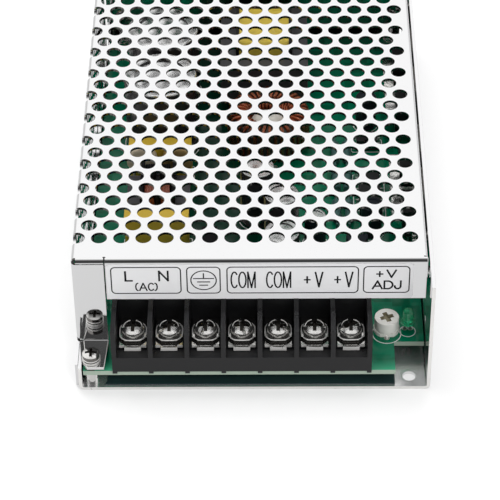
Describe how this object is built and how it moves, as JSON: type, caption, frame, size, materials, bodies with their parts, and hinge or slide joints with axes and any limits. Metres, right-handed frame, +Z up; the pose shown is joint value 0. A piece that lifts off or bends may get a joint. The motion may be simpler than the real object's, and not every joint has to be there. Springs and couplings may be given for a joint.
{
  "type": "enclosed switching power supply",
  "caption": "Flat power supply in a folded bright metal case: perforated cover, lip with a label strip over a black screw terminal block, cream trimmer, green lamp and ground tab.",
  "frame": {"origin": "centre of the underside, midway along the length and across the width", "axes": "+X to the right seen from the terminals, +Y from the terminals to the rear wall, +Z up"},
  "size_m": [0.098, 0.159, 0.038],
  "materials": {
    "bright_sheet": "mirror-bright plated sheet",
    "plated_steel": "bright nickel plate",
    "label_film": "satin printed film",
    "insulation": "smooth black film",
    "board_laminate": "glossy green solder mask",
    "black_plastic": "satin black moulding",
    "cream_plastic": "satin cream moulding",
    "lamp_green": "clear tinted resin",
    "tube_glass": "clear glass",
    "blue_coating": "dipped epoxy",
    "dark_coating": "dipped epoxy",
    "tan_coating": "dipped epoxy",
    "yellow_plastic": "moulded case",
    "ferrite": "sintered ferrite",
    "enamelled_wire": "enamelled copper",
    "yellow_tape": "polyester tape",
    "ring_coating": "powder-coated core",
    "sealant": "cured silicone",
    "capacitor_sleeve": "printed sleeve",
    "blue_sleeve": "printed sleeve",
    "pad_silicone": "heat-conducting pad",
    "resistor_body": "lacquered body"
  },
  "bodies": {
    "case": {"chassis": "bright_sheet", "cover": "bright_sheet", "terminal_label": "label_film", "insulation_sheet": "insulation", "circuit_board": "board_laminate", "standoffs": "plated_steel", "board_screws": "plated_steel", "ground_screw": "plated_steel", "ground_washers": "plated_steel", "cover_screws": "plated_steel", "terminal_block": "black_plastic", "contact_plates": "plated_steel", "trimmer_body": "cream_plastic", "lamp_lens": "lamp_green", "lamp_leads": "plated_steel", "fuse_tube": "tube_glass", "fuse_caps": "plated_steel", "fuse_clips": "plated_steel", "varistor": "blue_coating", "thermistor": "dark_coating", "safety_capacitors": "tan_coating", "line_capacitors": "yellow_plastic", "line_choke_core": "ferrite", "line_choke_bobbins": "black_plastic", "line_choke_windings": "enamelled_wire", "bridge_rectifier": "black_plastic", "bulk_capacitors": "capacitor_sleeve", "transformer_core": "ferrite", "transformer_bobbin": "black_plastic", "transformer_winding": "yellow_tape", "ring_choke_core": "ring_coating", "ring_choke_winding": "enamelled_wire", "ring_choke_sealant": "sealant", "output_capacitors": "capacitor_sleeve", "output_rectifiers": "black_plastic", "power_transistors": "black_plastic", "insulating_pads": "pad_silicone", "clamp_bars": "plated_steel", "clamp_screws": "plated_steel", "control_chip": "black_plastic", "optocoupler": "black_plastic", "small_capacitors": "blue_sleeve", "resistors": "resistor_body"},
    "terminal_1": {"terminal_screw_1": "plated_steel", "clamp_washer_1": "plated_steel"},
    "terminal_2": {"terminal_screw_2": "plated_steel", "clamp_washer_2": "plated_steel"},
    "terminal_3": {"terminal_screw_3": "plated_steel", "clamp_washer_3": "plated_steel"},
    "terminal_4": {"terminal_screw_4": "plated_steel", "clamp_washer_4": "plated_steel"},
    "terminal_5": {"terminal_screw_5": "plated_steel", "clamp_washer_5": "plated_steel"},
    "terminal_6": {"terminal_screw_6": "plated_steel", "clamp_washer_6": "plated_steel"},
    "terminal_7": {"terminal_screw_7": "plated_steel", "clamp_washer_7": "plated_steel"},
    "trimmer": {"trimmer_rotor": "cream_plastic"}
  },
  "joints": [
    {"name": "terminal_1_clamp", "type": "slide", "parent": "case", "child": "terminal_1", "axis": [0, 0, 1], "range_m": [0, 0.003]},
    {"name": "terminal_2_clamp", "type": "slide", "parent": "case", "child": "terminal_2", "axis": [0, 0, 1], "range_m": [0, 0.003]},
    {"name": "terminal_3_clamp", "type": "slide", "parent": "case", "child": "terminal_3", "axis": [0, 0, 1], "range_m": [0, 0.003]},
    {"name": "terminal_4_clamp", "type": "slide", "parent": "case", "child": "terminal_4", "axis": [0, 0, 1], "range_m": [0, 0.003]},
    {"name": "terminal_5_clamp", "type": "slide", "parent": "case", "child": "terminal_5", "axis": [0, 0, 1], "range_m": [0, 0.003]},
    {"name": "terminal_6_clamp", "type": "slide", "parent": "case", "child": "terminal_6", "axis": [0, 0, 1], "range_m": [0, 0.003]},
    {"name": "terminal_7_clamp", "type": "slide", "parent": "case", "child": "terminal_7", "axis": [0, 0, 1], "range_m": [0, 0.003]},
    {"name": "trimmer_turn", "type": "hinge", "parent": "case", "child": "trimmer", "pos_m": [0.0374, -0.0627, 0.01], "axis": [0, 0, 1], "range_deg": [-105, 105]}
  ]
}
